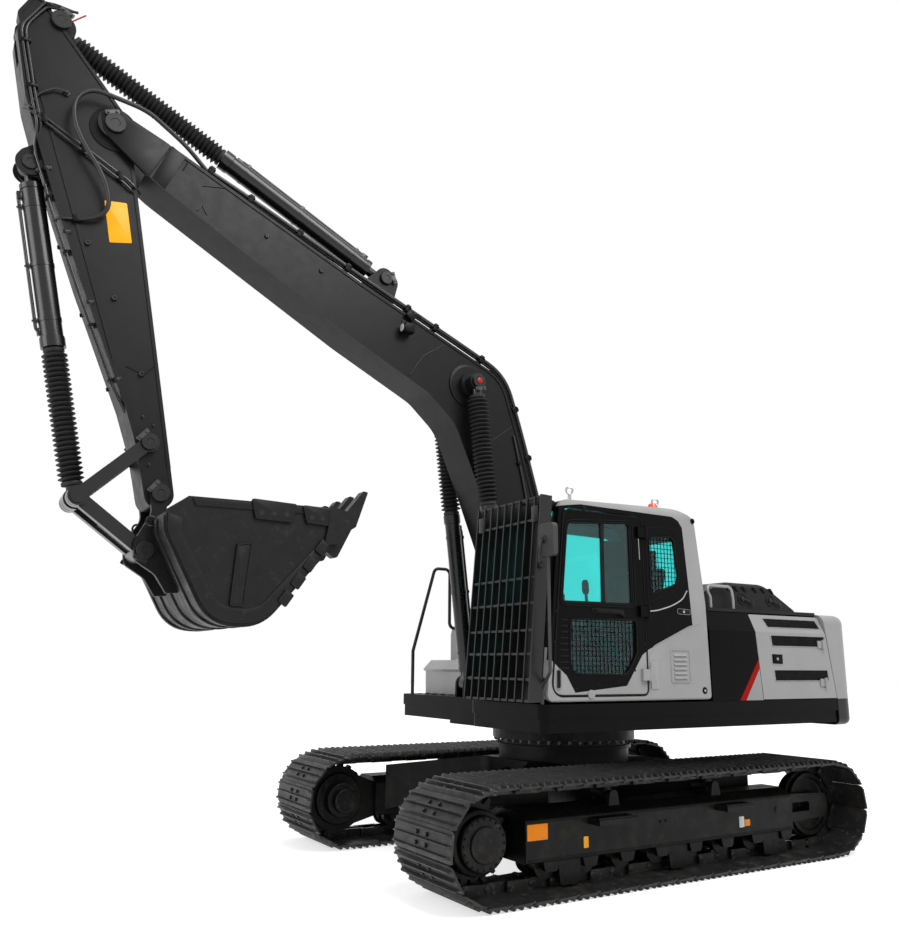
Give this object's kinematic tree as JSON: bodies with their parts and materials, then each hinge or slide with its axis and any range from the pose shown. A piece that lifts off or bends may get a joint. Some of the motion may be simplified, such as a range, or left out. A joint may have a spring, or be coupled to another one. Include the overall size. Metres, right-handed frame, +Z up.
{
  "type": "crawler excavator",
  "caption": "Full-size crawler excavator: slewing upper with guarded cab, gooseneck boom, arm and curling bucket on a tracked undercarriage.",
  "frame": {"origin": "on the ground under the middle of the machine's box at rest", "axes": "+X the way the boom points, +Y to the cab's side, +Z up"},
  "size_m": [8.0361, 3.19, 6.6648],
  "materials": {
    "black_paint": "satin black paint",
    "grey_paint": "satin light grey paint",
    "track_steel": "black painted steel, worn at the edges",
    "cast_iron": "painted casting",
    "chrome_rod": "hard chrome",
    "bellows_rubber": "ribbed rubberised fabric",
    "tinted_glass": "tinted glass",
    "seat_fabric": "woven seat cloth",
    "dark_plastic": "textured plastic"
  },
  "bodies": {
    "undercarriage": {"carbody": "black_paint", "swivel_joint": "cast_iron", "slewing_ring_inner": "cast_iron", "left_track_frame": "black_paint", "left_track": "track_steel", "left_final_drive": "black_paint", "left_idler": "track_steel", "left_rollers": "track_steel", "right_track_frame": "black_paint", "right_track": "track_steel", "right_final_drive": "black_paint", "right_idler": "track_steel", "right_rollers": "track_steel"},
    "house": {"slewing_ring_outer": "cast_iron", "house_frame": "black_paint", "counterweight": "grey_paint", "cab_shell": "grey_paint", "cab_glass": "tinted_glass", "operator_seat": "seat_fabric", "control_consoles": "dark_plastic", "travel_pedals": "dark_plastic", "front_guard": "black_paint", "left_side_panel": "black_paint", "engine": "cast_iron", "radiator": "cast_iron", "main_pump": "cast_iron", "firewall": "black_paint", "centre_cover": "black_paint", "hydraulic_tank": "grey_paint", "fuel_tank": "grey_paint", "toolbox": "grey_paint", "right_handrail": "black_paint", "cab_mirror": "black_paint"},
    "cab_door": {"cab_door": "black_paint", "door_glass": "tinted_glass"},
    "left_rear_door": {"left_rear_door": "grey_paint"},
    "right_pump_door": {"right_pump_door": "grey_paint"},
    "engine_hood": {"engine_hood": "black_paint", "hood_handrail": "black_paint"},
    "toolbox_lid": {"toolbox_lid": "grey_paint"},
    "boom": {"boom": "black_paint"},
    "lift_cylinder_barrels": {"lift_cylinder_barrels": "black_paint", "lift_cylinder_bellows": "bellows_rubber"},
    "lift_cylinder_rods": {"lift_cylinder_rods": "chrome_rod"},
    "arm": {"arm": "black_paint"},
    "arm_cylinder_barrel": {"arm_cylinder_barrel": "black_paint", "arm_cylinder_bellows": "bellows_rubber"},
    "arm_cylinder_rod": {"arm_cylinder_rod": "chrome_rod"},
    "bucket": {"bucket": "black_paint"},
    "guide_links": {"guide_links": "black_paint"},
    "bucket_link": {"bucket_link": "black_paint"},
    "bucket_cylinder_barrel": {"bucket_cylinder_barrel": "black_paint", "bucket_cylinder_bellows": "bellows_rubber"},
    "bucket_cylinder_rod": {"bucket_cylinder_rod": "chrome_rod"}
  },
  "joints": [
    {"name": "slew", "type": "hinge", "parent": "undercarriage", "child": "house", "pos_m": [-1.228, 0, 1.085], "axis": [0, 0, 1], "continuous": true},
    {"name": "cab_door_hinge", "type": "hinge", "parent": "house", "child": "cab_door", "pos_m": [-1.06, 1.385, 1.9], "axis": [0, 0, 1], "range_deg": [0, 160]},
    {"name": "left_door_hinge", "type": "hinge", "parent": "house", "child": "left_rear_door", "pos_m": [-3.283, 1.385, 1.7], "axis": [0, 0, 1], "range_deg": [0, 120]},
    {"name": "right_door_hinge", "type": "hinge", "parent": "house", "child": "right_pump_door", "pos_m": [-3.283, -1.385, 1.7], "axis": [0, 0, -1], "range_deg": [0, 120]},
    {"name": "hood_hinge", "type": "hinge", "parent": "house", "child": "engine_hood", "pos_m": [-3.315, 0, 2.14], "axis": [0, -1, 0], "range_deg": [0, 60]},
    {"name": "toolbox_hinge", "type": "hinge", "parent": "house", "child": "toolbox_lid", "pos_m": [-0.782, -0.985, 1.672], "axis": [0, -1, 0], "range_deg": [0, 75]},
    {"name": "boom_lift", "type": "hinge", "parent": "house", "child": "boom", "pos_m": [-0.948, 0, 1.9], "axis": [0, -1, 0], "range_deg": [-76, 19]},
    {"name": "lift_barrel_turn", "type": "hinge", "parent": "house", "child": "lift_cylinder_barrels", "pos_m": [-0.368, 0, 1.45], "axis": [0, -1, 0], "range_deg": [-75.14, 18.79]},
    {"name": "lift_rod_slide", "type": "slide", "parent": "lift_cylinder_barrels", "child": "lift_cylinder_rods", "axis": [0.12, 0, 0.9928], "range_m": [-0.91817, 0.23029], "deforming": ["lift_cylinder_bellows"]},
    {"name": "arm_swing", "type": "hinge", "parent": "boom", "child": "arm", "pos_m": [3.2545, 0, 5.7509], "axis": [0, 1, 0], "range_deg": [-104, 6]},
    {"name": "arm_barrel_turn", "type": "hinge", "parent": "boom", "child": "arm_cylinder_barrel", "pos_m": [0.791, 0, 5.094], "axis": [0, -1, 0], "range_deg": [-0.64, 10.99]},
    {"name": "arm_rod_slide", "type": "slide", "parent": "arm_cylinder_barrel", "child": "arm_cylinder_rod", "axis": [0.8986, 0, 0.4388], "range_m": [-1.371, 0.08004], "deforming": ["arm_cylinder_bellows"]},
    {"name": "bucket_curl", "type": "hinge", "parent": "arm", "child": "bucket", "pos_m": [2.6815, 0, 2.857], "axis": [0, 1, 0], "range_deg": [-118, 47]},
    {"name": "guide_turn", "type": "hinge", "parent": "arm", "child": "guide_links", "pos_m": [2.7916, 0, 3.2379], "axis": [0, -1, 0], "range_deg": [-34.01, 85.37]},
    {"name": "link_turn", "type": "hinge", "parent": "bucket", "child": "bucket_link", "pos_m": [2.762, 0, 2.4272], "axis": [0, -1, 0], "range_deg": [-81.46, 32.45]},
    {"name": "bucket_barrel_turn", "type": "hinge", "parent": "arm", "child": "bucket_cylinder_barrel", "pos_m": [3.8047, 0, 5.3014], "axis": [0, -1, 0], "range_deg": [-0.24867, 0.10506]},
    {"name": "bucket_rod_slide", "type": "slide", "parent": "bucket_cylinder_barrel", "child": "bucket_cylinder_rod", "axis": [-0.2148, 0, -0.9767], "range_m": [-0.8805, 0.35131], "deforming": ["bucket_cylinder_bellows"]}
  ],
  "couplings": [
    {"joint": "lift_barrel_turn", "follows": "boom_lift", "ratio": 0.98851},
    {"joint": "lift_rod_slide", "follows": "boom_lift", "m_per_rad": 0.69144},
    {"joint": "arm_barrel_turn", "follows": "arm_swing", "ratio": -0.10553},
    {"joint": "arm_rod_slide", "follows": "arm_swing", "m_per_rad": 0.75476},
    {"joint": "guide_turn", "follows": "bucket_curl", "ratio": -0.72336},
    {"joint": "link_turn", "follows": "bucket_curl", "ratio": 0.69028},
    {"joint": "bucket_barrel_turn", "follows": "bucket_curl", "ratio": 0.002023},
    {"joint": "bucket_rod_slide", "follows": "bucket_curl", "m_per_rad": 0.42705}
  ]
}
